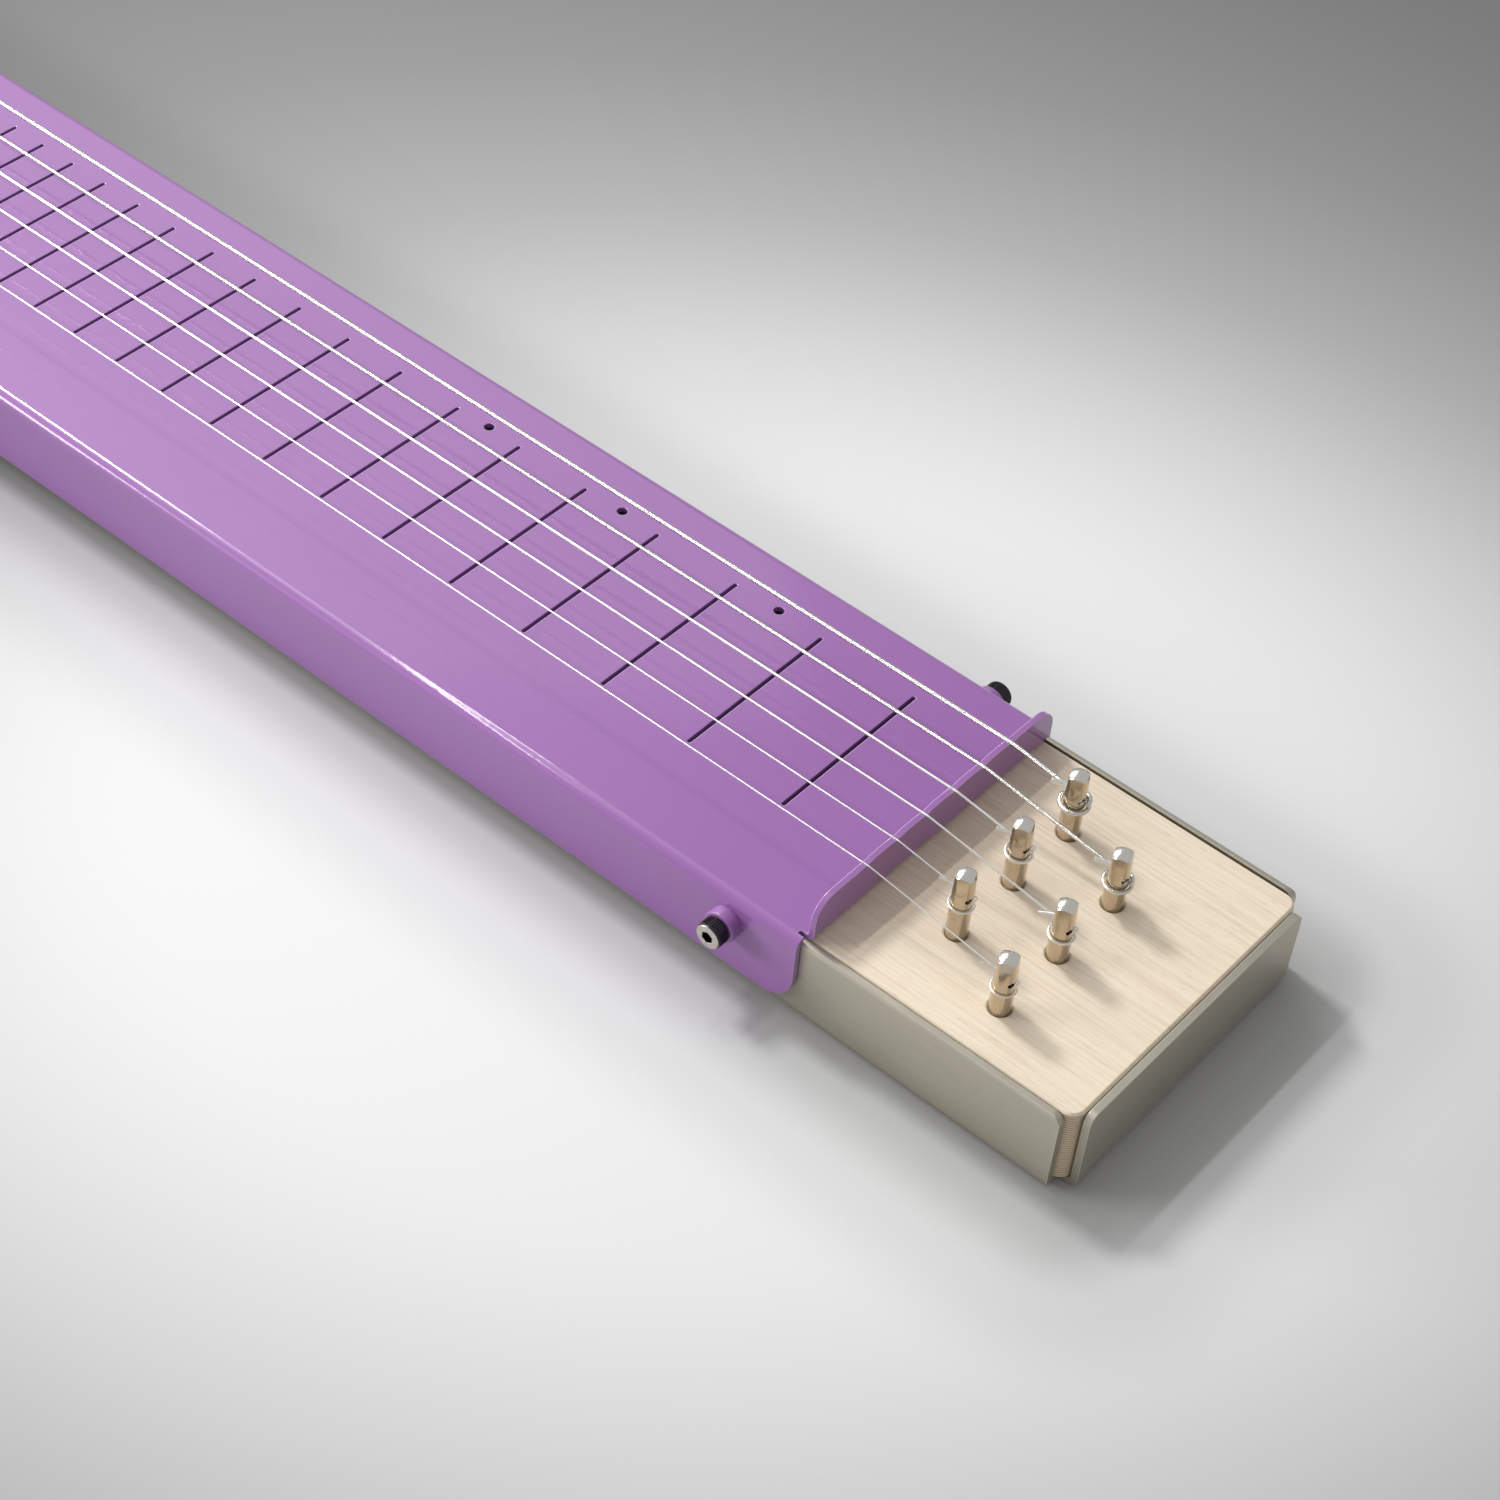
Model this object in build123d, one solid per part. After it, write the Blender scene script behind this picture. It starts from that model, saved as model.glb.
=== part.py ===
from build123d import *
import math
import os

# Lap steel guitar. A folded, powder-coated steel shell carries the nut and the bridge as upturned
# flanges. It sits over a maple core that lies in a folded aluminium tray. Six strings run from a tail
# bracket over bridge and nut to zither-type tuning pins that turn in bores in the maple.
# Millimetres. X points to the head, Y to the bass side, Z up. The origin is the middle of the underside.

os.makedirs("parts", exist_ok=True)

# Driving dimensions of the instrument
scale_length = 571.5        # bridge crest to nut crest, 22.5 in
head_length = 78.5          # nut face to the outside of the head wall
tail_length = 112.0         # bridge face to the outside of the tail wall
string_spacing = 11.2       # the same at nut and bridge
string_diameters = [0.41, 0.46, 0.61, 0.76, 1.07, 1.32]
string_inset = 22.0         # outer strings to the outside of the shell's side flanges

# Tray
tray_sheet = 2.0
tray_height = 25.4
tray_bend = 3.0             # outside radius of the folds
tray_corner_gap = 5.0       # how far each wall stops short of the corner
tray_wall_round = 3.0       # rounded top corners of the walls

# Shell
shell_sheet = 1.6
shell_bend = 3.0            # outside radius of the long folds
shell_side_gap = 0.2        # between side flange and tray
shell_skirt_clearance = 4.2  # underside of the side flange above the ground
shell_setback = 2.0         # side flange stops this far behind the nut face
shell_corner_round = 9.0    # lower corners of the side flanges
flange_bend = 1.0           # inside radius where nut and bridge turn up
flange_inset = 3.75         # ends of nut and bridge, from the outside of the side flanges
flange_end_round = 6.5
crest_rise = 0.45           # how far the crest bulges between two strings
relief_width = 1.2          # saw cut between nut flange and side fold
relief_depth = 4.0          # behind the nut face
nut_height = 12.6           # string centre above the wood
bridge_height = 13.6
notch_clearance = 0.03      # round each string in its notch

# Fret slots and markers cut through the deck
fret_count = 24
slot_width = 1.2
slot_treble_inset = 9.5     # slots end this far inside the first string
slot_bass_outset = 5.5      # and this far outside the sixth
marker_frets = [3, 5, 7]
marker_diameter = 3.0

# Wood core
wood_side_gap = 0.5
wood_corner_radius = 4.0
wood_edge_chamfer = 0.6

# Tuning pins
pin_diameter = 5.5
pin_height = 20.8           # top above the wood, in the row beside the nut
pin_depth = 17.0            # in the wood
pin_row_sinks = [0.0, 2.9]  # how much deeper each row is driven, which gives all strings one slope
pin_bore_clearance = 0.05   # radial
pin_bore_extra = 1.0        # bore below the pin's foot
pin_foot_chamfer = 0.8
pin_dome_rise = 0.9
pin_flat_start = 11.5       # the four flats start this far above the wood
pin_flat_inset = 0.55       # cut per side at the top
pin_hole_diameter = 1.7
pin_hole_height = 13.3
pin_countersink = 0.5
pin_rows = [22.0, 43.4]     # beyond the nut face
pin_row_of_string = [1, 0, 1, 0, 1, 0]

# String winding on the pins
winding_gap = 0.2           # between pin and string
winding_height = 9.6        # where the string meets the pin, above the wood
winding_pitch_extra = 0.85  # pitch beyond the string's diameter
winding_end_gap = 24.0      # degrees between the winding's end and the hole's mouth
winding_end_drop = 0.35     # end of the winding below the hole
tail_straight = 0.8         # string behind the hole before it bends
tail_reach = 4.2            # free end beyond that
tail_turn = 50.0            # degrees that the free end is bent sideways
tail_rises = [0.3, 0.9, -0.7, 0.6, 0.2, 0.4]
tail_hole_clearance = 0.3   # thick strings are filed down to pass the hole
nut_break_radius = 5.0
bridge_break_radius = 3.0

# Tail bracket and ball ends
bracket_setback = 26.0      # bridge face to the bracket's upright
bracket_sheet = 2.5
bracket_margin = 7.0        # ends, beyond the outer strings
bracket_foot = 20.0
bracket_height = 10.0
bracket_bend = 1.5          # inside radius
anchor_height = 6.0         # string centre above the wood
anchor_slot_clearance = 0.15
ball_diameter = 3.8
ball_width = 3.2
ball_groove = 0.5
ball_hole = 1.4
ball_seat_gap = 0.05
bracket_screw_pitch = 27.0
bracket_screw_diameter = 3.5
bracket_screw_head = 7.0
bracket_screw_head_height = 2.4
bracket_screw_length = 14.0

# Pickup
pickup_distance = 32.0      # bridge crest to the pole pieces
pickup_margin = 6.0         # ends of the cover, beyond the outer strings
pickup_width = 24.0
pickup_proud = 6.0          # cover above the deck
pickup_corner = 4.0
pickup_window_gap = 0.8
pickup_height = 17.0
cover_wall = 0.8
pole_diameter = 4.8
pole_clearance = 0.15
baseplate_sheet = 1.5
ear_length = 8.0
ear_width = 10.0
pickup_screw_diameter = 3.0
pickup_screw_head = 5.6
pickup_screw_head_height = 1.8
pickup_pocket_gap = 1.5
baseplate_floor_gap = 1.0   # pocket floor to the baseplate
cover_edge_round = 1.2
cover_hole_reach = 4.0
bobbin_flange = 1.6
bobbin_side_gap = 0.3
bobbin_corner = 3.0
bobbin_wall = 0.8           # round the pole pieces
coil_inset = 1.5            # inside the bobbin's flanges, at the sides
coil_end_inset = 0.5
magnet_width = 12.0
magnet_height = 3.0
magnet_margin = 2.0         # ends, beyond the outer strings
magnet_corner = 0.6
pole_slot_width = 0.8
pole_slot_depth = 0.6
sleeve_diameter = 5.2
sleeve_clearance = 0.1
pickup_screw_extra = 0.8    # below the baseplate
screw_recess_width = 0.8
screw_recess_share = 0.55   # of the head's diameter

# Controls in the tail deck
control_inset = 38.0        # outside of the tail wall to the shafts
control_spacing = 44.0
control_deck = 5.0          # wood left above the cavity
cavity_start = 14.0         # inside of the cavity from the tail wall's outside
cavity_length = 48.0
cavity_width = 78.0
cavity_corner = 6.0
pot_diameter = 17.0
pot_height = 8.0
pot_bushing_diameter = 7.0
pot_bushing_height = 9.5
pot_edge_round = 1.0
pot_lug_size = [7.0, 2.0, 0.6]
pot_lug_pitch = 4.0
pot_shaft_seat = 2.0        # the shaft's foot below the case's top
pot_shaft_end_gap = 0.1
pot_shaft_chamfer = 0.5
pot_shaft_diameter = 6.0
pot_shaft_height = 18.0     # above the pot's case
pot_shaft_clearance = 0.05
pot_washer_diameter = 12.0
pot_washer_sheet = 0.6
pot_nut_flats = 10.0
pot_nut_height = 2.0
knob_diameter = 19.0
knob_height = 14.0
knob_gap = 0.6              # above the bushing
knob_skirt = 1.0
knob_flutes = 20
knob_flute_radius = 1.1
knob_flute_share = 0.35     # how far a flute's centre lies outside the rim, in flute radii
knob_edge_round = 1.5
knob_bore_clearance = 0.02
nut_chamfer = 0.35
washer_clearance = 0.1

# Output jack
jack_height = 12.5
jack_bore_diameter = 6.4
jack_bore_length = 30.0
jack_bushing_diameter = 9.5
jack_protrusion = 4.6
jack_case_diameter = 15.0
jack_case_length = 30.0
jack_case_gap = 0.7
jack_washer_diameter = 14.0
jack_washer_sheet = 0.8
jack_nut_flats = 12.0
jack_nut_height = 2.4
jack_lug_size = [5.0, 2.0, 0.6]
jack_lug_radius = 4.5

# Side screws and tray screws
side_screw_inset = 22.5     # behind the nut face
side_screw_bridge_inset = 10.0
side_screw_height = 18.8
side_screw_diameter = 4.0
side_screw_head = 7.0
side_screw_head_height = 4.0
side_screw_socket = 3.0     # across flats
side_screw_socket_depth = 2.0
side_screw_length = 16.0
boss_diameter = 9.0
boss_height = 3.5
boss_round = 0.5
side_screw_edge_round = 0.4
screw_hole_clearance = 0.15
tray_screw_diameter = 3.5
tray_screw_head = 7.0
tray_screw_length = 14.0
tray_screw_recess = 0.15
tray_screw_point_gap = 0.5  # hole deeper than the screw
tray_screw_cross = [3.6, 0.8, 0.8]
tray_screw_side_inset = 20.0
tray_screw_tail_inset = 8.5
tray_screw_head_inset = 12.0
tray_screw_bridge_inset = 90.0
tray_screw_nut_inset = 70.0

# Sizes and places worked out from the values above
string_count = len(string_diameters)
string_span = (string_count - 1) * string_spacing
string_y = [i * string_spacing - string_span / 2 for i in range(string_count)]
body_width = string_span + 2 * string_inset
body_length = head_length + shell_sheet + scale_length + tail_length
overall_length = body_length + jack_protrusion
head_end = overall_length / 2
tail_end = head_end - body_length
nut_face = head_end - head_length
nut_crest = nut_face - shell_sheet / 2
bridge_crest = nut_crest - scale_length
bridge_face = bridge_crest - shell_sheet / 2
wood_top = tray_height
deck_top = wood_top + shell_sheet
nut_z = wood_top + nut_height
bridge_z = wood_top + bridge_height
flange_length = body_width - 2 * flange_inset
slot_treble_end = string_y[0] + slot_treble_inset
slot_bass_end = string_y[-1] + slot_bass_outset
tray_width = body_width - 2 * (shell_sheet + shell_side_gap)
wood_length = body_length - 2 * (tray_sheet + wood_side_gap)
wood_width = tray_width - 2 * (tray_sheet + wood_side_gap)
wood_bottom = tray_sheet
body_centre = (head_end + tail_end) / 2
pin_radius = pin_diameter / 2
coil_radii = [pin_radius + winding_gap + diameter / 2 for diameter in string_diameters]
pin_places = [(nut_face + pin_rows[row], y - coil_radius, wood_top - pin_row_sinks[row])
              for row, y, coil_radius in zip(pin_row_of_string, string_y, coil_radii)]
control_x = tail_end + control_inset
control_places = {"volume": -control_spacing / 2, "tone": control_spacing / 2}
pickup_x = bridge_crest + pickup_distance
pickup_length = string_span + 2 * pickup_margin
pickup_top = deck_top + pickup_proud
pickup_floor = pickup_top - pickup_height
pickup_ear_y = (pickup_length + ear_length) / 2
side_screw_x = [nut_face - side_screw_inset, bridge_face + side_screw_bridge_inset]
tray_screw_x = [tail_end + tray_screw_tail_inset, bridge_face + tray_screw_bridge_inset,
                nut_face - tray_screw_nut_inset, head_end - tray_screw_head_inset]
tray_screw_side = body_width / 2 - tray_screw_side_inset
upright_x = bridge_face - bracket_setback
bracket_width = string_span + 2 * bracket_margin


def save(name, *solids):
    """Write one node to its own STEP file."""
    export_step(Compound(children=list(solids)) if len(solids) > 1 else solids[0], f"parts/{name}.step")


def drum(radius, length, start, direction):
    """A round bar from a point along a direction."""
    return extrude(Plane(origin=start, z_dir=direction) * Circle(radius), length)


def block(low, high):
    """A box between two corners."""
    size = [b - a for a, b in zip(low, high)]
    middle = [(a + b) / 2 for a, b in zip(low, high)]
    return Pos(*middle) * Box(*size)


def rounded_block(centre_x, centre_y, length_x, length_y, low, high, radius):
    """An upright block with rounded vertical corners."""
    outline = Pos(centre_x, centre_y, low) * RectangleRounded(length_x, length_y, radius)
    return extrude(outline, high - low)


def folded_channel(width, low, high, sheet, bend, length):
    """A U section, open at the bottom or the top, as a face in the YZ plane swept along X."""
    flip = -1 if low > high else 1
    outer = Polyline((-width / 2, low), (-width / 2, high), (width / 2, high), (width / 2, low))
    outer_face = make_face(outer + Line((width / 2, low), (-width / 2, low)))
    outer_face = fillet(outer_face.vertices().sort_by(Axis.Y)[-2:] if flip > 0 else
                        outer_face.vertices().sort_by(Axis.Y)[:2], bend)
    inner_width = width - 2 * sheet
    inner_high = high - flip * sheet
    inner = Polyline((-inner_width / 2, low), (-inner_width / 2, inner_high),
                     (inner_width / 2, inner_high), (inner_width / 2, low))
    inner_face = make_face(inner + Line((inner_width / 2, low), (-inner_width / 2, low)))
    inner_face = fillet(inner_face.vertices().sort_by(Axis.Y)[-2:] if flip > 0 else
                        inner_face.vertices().sort_by(Axis.Y)[:2], max(bend - sheet, 0.4))
    section = Plane.YZ * (outer_face - inner_face)
    return Pos(-length / 2, 0, 0) * extrude(section, length)


def place_of_fret(number):
    """Equal-tempered fret line, measured from the nut crest."""
    return nut_crest - scale_length * (1 - 2 ** (-number / 12))


# Tray: one sheet cut as a cross and folded up, so the corners stay open
def make_tray():
    long_part = folded_channel(tray_width, tray_height, 0, tray_sheet, tray_bend,
                               body_length - 2 * tray_corner_gap)
    cross_part = folded_channel(body_length, tray_height, 0, tray_sheet, tray_bend,
                                tray_width - 2 * tray_corner_gap)
    # A square edge would foul the inside of the shell's long folds
    edge_round = shell_bend - shell_sheet - shell_side_gap
    envelope = extrude(Plane.YZ * wall_outline(tray_width, edge_round), body_length, both=True)
    long_part = long_part & wall_ends(body_length - 2 * tray_corner_gap, tray_width) & envelope
    cross_part = cross_part & wall_ends(tray_width - 2 * tray_corner_gap, body_length)
    tray = Pos(body_centre, 0, 0) * (long_part + Rot(0, 0, 90) * cross_part)
    for x in side_screw_x:
        tray -= drum(side_screw_diameter / 2 + screw_hole_clearance, tray_width + 2,
                     (x, -tray_width / 2 - 1, side_screw_height), (0, 1, 0))
    tray -= drum(jack_bushing_diameter / 2 + screw_hole_clearance, 2 * tray_sheet,
                 (tail_end - tray_sheet / 2, 0, jack_height), (1, 0, 0))
    for x, y in tray_screw_places():
        tray -= countersink(x, y, screw_hole_clearance)
    return tray


def wall_outline(width, radius):
    """A rectangle from the ground to the tray's top, with its two upper corners rounded."""
    outline = Pos(0, (tray_height - 1) / 2) * Rectangle(width, tray_height + 1)
    return fillet(outline.vertices().sort_by(Axis.Y)[-2:], radius)


def wall_ends(length, width):
    """The space of two facing walls whose upper corners are rounded."""
    return extrude(Plane.XZ * wall_outline(length, tray_wall_round), width, both=True)


def tray_screw_places():
    return [(x, side * tray_screw_side) for x in tray_screw_x for side in (-1, 1)]


def countersink(x, y, extra):
    """The space of a countersunk screw, head down, with its flat head just inside the tray's floor."""
    head = tray_screw_head / 2 + extra
    shank = tray_screw_diameter / 2 + extra
    profile = Polyline((0, -1), (head, -1), (head, tray_screw_recess),
                       (shank, tray_screw_recess + head - shank), (shank, tray_screw_length),
                       (0, tray_screw_length))
    face = make_face(profile + Line((0, tray_screw_length), (0, -1)))
    return Pos(x, y, 0) * revolve(Plane.XZ * face, Axis.Z)


# Shell: deck, side flanges, and nut and bridge turned up from the deck's ends
def make_shell():
    channel_length = nut_face - bridge_face - 2 * shell_setback
    channel_middle = (nut_face + bridge_face) / 2
    channel = folded_channel(body_width, shell_skirt_clearance, deck_top, shell_sheet, shell_bend,
                             channel_length)
    lower_corners = [edge for edge in channel.edges().filter_by(Axis.Y)
                     if abs(edge.center().Z - shell_skirt_clearance) < 1e-3
                     and abs(abs(edge.center().X) - channel_length / 2) < 1e-3]
    channel = Pos(channel_middle, 0, 0) * fillet(lower_corners, shell_corner_round)
    outside_bend = flange_bend + shell_sheet
    for face_x, inward in ((nut_face, -1), (bridge_face, 1)):
        start = face_x + inward * outside_bend
        far = face_x - inward * outside_bend
        reach = flange_length / 2 + relief_width
        channel -= block((min(start, far), -reach, wood_top - 1), (max(start, far), reach, deck_top + 1))
        for side in (-1, 1):
            cut_middle = side * (reach - relief_width / 2)
            channel -= rounded_block(face_x, cut_middle, 2 * relief_depth, relief_width, wood_top - 1,
                                     deck_top + 1, 0.49 * relief_width)
    shell = channel
    for number in range(1, fret_count + 1):
        middle = (slot_treble_end + slot_bass_end) / 2
        slot = SlotOverall(slot_bass_end - slot_treble_end, slot_width, rotation=90)
        shell -= extrude(Pos(place_of_fret(number), middle, wood_top - 1) * slot, shell_sheet + 2)
    for number in marker_frets:
        x = (place_of_fret(number) + place_of_fret(number - 1)) / 2
        shell -= drum(marker_diameter / 2, shell_sheet + 2, (x, slot_bass_end, wood_top - 1), (0, 0, 1))
    shell -= rounded_block(pickup_x, 0, pickup_width + 2 * pickup_window_gap,
                           pickup_length + 2 * pickup_window_gap, wood_top - 1, deck_top + 1,
                           pickup_corner + pickup_window_gap)
    for side in (-1, 1):
        shell -= drum(pickup_screw_diameter / 2 + screw_hole_clearance, shell_sheet + 2,
                      (pickup_x, side * (pickup_ear_y + pickup_window_gap), wood_top - 1), (0, 0, 1))
    for x in side_screw_x:
        shell -= drum(side_screw_diameter / 2 + screw_hole_clearance, body_width + 2,
                      (x, -body_width / 2 - 1, side_screw_height), (0, 1, 0))
    # The flanges meet the deck face to face where their bend starts, so each has a collision hull of its own
    return shell.solid(), upturned_flange(nut_face, -1, nut_z), upturned_flange(bridge_face, 1, bridge_z)


def upturned_flange(face_x, inward, crest_z):
    """The end of the deck bent up through 90 degrees, with a notch for each string."""
    outside_bend = flange_bend + shell_sheet
    top = crest_z + 2
    bar = block((0, -flange_length / 2, wood_top), (2 * outside_bend, flange_length / 2, top))
    bar = fillet(bar.edges().filter_by(Axis.Y).group_by(Axis.Z)[0].sort_by(Axis.X)[0], outside_bend)
    hollow = block((shell_sheet, -body_width, deck_top), (3 * outside_bend, body_width, top + 1))
    hollow = fillet(hollow.edges().filter_by(Axis.Y).group_by(Axis.Z)[0].sort_by(Axis.X)[0], flange_bend)
    bar = (bar - hollow) & block((0, -body_width, 0), (outside_bend, body_width, top))
    if inward < 0:
        bar = mirror(bar, Plane.YZ)
    bar = Pos(face_x, 0, 0) * bar
    outline = extrude(Plane.YZ * crest_outline(crest_z), 6 * outside_bend, both=True)
    bar = bar & (Pos(face_x, 0, 0) * outline)
    for diameter, y in zip(string_diameters, string_y):
        bar -= drum(diameter / 2 + notch_clearance, 6 * outside_bend,
                    (face_x - 3 * outside_bend, y, crest_z), (1, 0, 0))
    return bar


def crest_outline(crest_z):
    """Side view of a flange: round ends, and a shallow arc between each two strings."""
    half = flange_length / 2
    low = wood_top - 1
    shoulder = crest_z - flange_end_round
    flat_end = half - flange_end_round
    edges = [Line((-half, low), (-half, shoulder)),
             RadiusArc((-half, shoulder), (-flat_end, crest_z), flange_end_round),
             Line((-flat_end, crest_z), (string_y[0], crest_z))]
    for left, right in zip(string_y, string_y[1:]):
        middle = ((left + right) / 2, crest_z + crest_rise)
        edges.append(ThreePointArc((left, crest_z), middle, (right, crest_z)))
    edges += [Line((string_y[-1], crest_z), (flat_end, crest_z)),
              RadiusArc((flat_end, crest_z), (half, shoulder), flange_end_round),
              Line((half, shoulder), (half, low)),
              Line((half, low), (-half, low))]
    return make_face(edges)


# Wood core: a maple plank with bores for the pins, a pickup pocket and a control cavity
def make_wood():
    core = rounded_block(body_centre, 0, wood_length, wood_width, wood_bottom, wood_top, wood_corner_radius)
    rims = core.faces().sort_by(Axis.Z)[-1].edges() + core.faces().sort_by(Axis.Z)[0].edges()
    core = chamfer(rims, wood_edge_chamfer)
    bore_radius = pin_radius + pin_bore_clearance
    for x, y, foot in pin_places:
        core -= drum(bore_radius, wood_top - foot + pin_depth + pin_bore_extra, (x, y, wood_top), (0, 0, -1))
        core -= Pos(x, y, wood_top - pin_countersink / 2) * Cone(bore_radius, bore_radius + pin_countersink,
                                                                pin_countersink)
    pocket_y = 2 * (pickup_ear_y + pickup_window_gap + ear_width / 2) - 1
    core -= rounded_block(pickup_x, 0, pickup_width + 2 * pickup_pocket_gap, pocket_y,
                          pickup_floor, wood_top + 1, pickup_corner)
    cavity_middle = tail_end + cavity_start + cavity_length / 2
    core -= rounded_block(cavity_middle, 0, cavity_length, cavity_width, wood_bottom - 1,
                          wood_top - control_deck, cavity_corner)
    core -= drum(jack_case_diameter / 2 + jack_case_gap, cavity_start + 1, (tail_end, 0, jack_height),
                 (1, 0, 0))
    for y in control_places.values():
        core -= drum(pot_bushing_diameter / 2 + screw_hole_clearance, control_deck + 2,
                     (control_x, y, wood_top - control_deck - 1), (0, 0, 1))
    for x in side_screw_x:
        for side in (-1, 1):
            core -= drum(side_screw_diameter / 2 + notch_clearance, side_screw_length,
                         (x, side * (wood_width / 2 + 1), side_screw_height), (0, -side, 0))
    for x, y in tray_screw_places():
        core -= drum(tray_screw_diameter / 2 + notch_clearance, tray_screw_length, (x, y, 0), (0, 0, 1))
    for x, y in bracket_screw_places():
        core -= drum(bracket_screw_diameter / 2 + notch_clearance, bracket_screw_length,
                     (x, y, wood_top + 1), (0, 0, -1))
    return core


# Tuning pins: round in the wood, four tapered flats above the winding, domed top, one cross hole.
# Their heights count from the wood's top, less the row's own sink
def make_pin(x, y, foot):
    dome_radius = (pin_radius ** 2 + pin_dome_rise ** 2) / (2 * pin_dome_rise)
    shoulder = pin_height - pin_dome_rise
    foot_radius = pin_radius - pin_foot_chamfer
    profile = make_face([Line((0, -pin_depth), (foot_radius, -pin_depth)),
                         Line((foot_radius, -pin_depth), (pin_radius, pin_foot_chamfer - pin_depth)),
                         Line((pin_radius, pin_foot_chamfer - pin_depth), (pin_radius, shoulder)),
                         RadiusArc((pin_radius, shoulder), (0, pin_height), -dome_radius),
                         Line((0, pin_height), (0, -pin_depth))])
    pin = revolve(Plane.XZ * profile, Axis.Z)
    flat_length = pin_height - pin_flat_start
    lean = math.degrees(math.atan2(pin_flat_inset, flat_length))
    cutter = Pos(pin_diameter / 2, 0, flat_length) * Box(pin_diameter, 3 * pin_diameter, 2 * flat_length)
    for quarter in range(4):
        pin -= Rot(0, 0, 45 + 90 * quarter) * Pos(pin_radius, 0, pin_flat_start) * Rot(0, -lean, 0) * cutter
    pin -= drum(pin_hole_diameter / 2, 4 * pin_radius, (-2 * pin_radius, 0, pin_hole_height), (1, 0, 0))
    return Pos(x, y, foot) * Rot(0, 0, -winding_end_gap) * pin


# Strings
def biarc(start, start_direction, end, end_direction):
    """Two circle arcs that join two points in two given directions."""
    step = end - start
    total = start_direction + end_direction
    bend = 2 * (1 - start_direction.dot(end_direction))
    along = step.dot(total)
    reach = (-along + math.sqrt(along ** 2 + bend * step.dot(step))) / bend
    middle = (start + end + (start_direction - end_direction) * reach) * 0.5
    first = TangentArc(start, middle, tangent=start_direction)
    return [first, TangentArc(middle, end, tangent=first % 1)]


def string_route(index):
    """Ball end, bridge, nut and tuning pin as one line of straight runs and arcs."""
    diameter = string_diameters[index]
    coil_radius = coil_radii[index]
    y = string_y[index]
    pin_x, pin_y, foot = pin_places[index]
    ball_x = upright_x - bracket_sheet - ball_seat_gap - ball_diameter / 2
    anchor = Vector(ball_x + ball_diameter / 2 - ball_groove / 2, y, wood_top + anchor_height)
    bridge = Vector(bridge_face - nut_break_radius / 8, y, bridge_z)
    nut = Vector(nut_face + nut_break_radius / 8, y, nut_z)
    contact = Vector(pin_x, y, foot + winding_height)
    path = [FilletPolyline([anchor, bridge, nut, contact], radius=[bridge_break_radius, nut_break_radius])]
    pitch = diameter + winding_pitch_extra
    rise_rate = pitch / (2 * math.pi * coil_radius)
    last_z = foot + pin_hole_height - winding_end_drop - diameter / 4
    quarters = 5
    point, direction = contact, (contact - nut).normalized()
    for quarter in range(1, quarters + 1):
        turn = math.radians(90 - 90 * quarter)
        z = foot + winding_height + pitch * quarter / 4
        if quarter == quarters:
            z = max(z, last_z)
        following = Vector(pin_x + coil_radius * math.cos(turn), pin_y + coil_radius * math.sin(turn), z)
        following_direction = Vector(math.sin(turn), -math.cos(turn), rise_rate).normalized()
        path += biarc(point, direction, following, following_direction)
        point, direction = following, following_direction
    return Curve() + path


def make_string(index):
    route = string_route(index)
    wire = Wire(route.edges())
    diameter = string_diameters[index]
    section = Plane(origin=wire @ 0, z_dir=wire % 0) * Circle(diameter / 2)
    solid = sweep(section, path=wire)
    share = solid.volume / (math.pi * diameter ** 2 / 4 * wire.length)
    print(f"string_{index + 1}: length {wire.length:.1f}, volume {share:.4f} of section x length")
    print(f"string_{index + 1}: least gap between turns {least_gap(wire, diameter):.2f} mm")
    # Cut beside bridge and nut, where it is straight, so its collision hulls leave the space under it open
    past_bridge = Plane.YZ.offset(bridge_face + bridge_break_radius / 2)
    before_nut = Plane.YZ.offset(nut_face - nut_break_radius / 4)
    behind_bridge = split(solid, bisect_by=past_bridge, keep=Keep.BOTTOM)
    playing = split(split(solid, bisect_by=past_bridge, keep=Keep.TOP), bisect_by=before_nut, keep=Keep.BOTTOM)
    behind_nut = split(solid, bisect_by=before_nut, keep=Keep.TOP)
    return behind_bridge.solid(), playing.solid(), behind_nut.solid()


def least_gap(wire, diameter):
    """Smallest space between two turns of the winding, measured on points of its line."""
    coil_length = 2 * math.pi * (pin_radius + diameter) * 1.35
    share = coil_length / wire.length
    points = [wire @ (1 - share + share * step / 120) for step in range(121)]
    apart = coil_length * 0.4
    gaps = [(a - b).length for i, a in enumerate(points) for j, b in enumerate(points)
            if (j - i) * coil_length / 120 > apart]
    return min(gaps) - diameter


def make_string_tail(index):
    """The string's end through the pin's hole, bent sideways behind the pin."""
    x, y, foot = pin_places[index]
    radius = min(string_diameters[index], pin_hole_diameter - tail_hole_clearance) / 2
    front = Vector(pin_radius - pin_flat_inset, 0, 0)
    back = Vector(-pin_radius - tail_straight, 0, 0)
    bend = math.radians(tail_turn)
    tip = back + Vector(-tail_reach * math.cos(bend), -tail_reach * math.sin(bend), tail_rises[index])
    route = FilletPolyline([front, back, tip], radius=3 * radius + 1)
    tail = sweep(Plane(origin=front, z_dir=(-1, 0, 0)) * Circle(radius), path=route)
    return Pos(x, y, foot + pin_hole_height) * Rot(0, 0, -winding_end_gap) * tail


# Tail bracket: a bent angle with a slot for each string, screwed to the wood
def bracket_screw_places():
    x = upright_x - bracket_sheet - bracket_foot / 2 - 2
    return [(x, step * bracket_screw_pitch) for step in (-1, 0, 1)]


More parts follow.
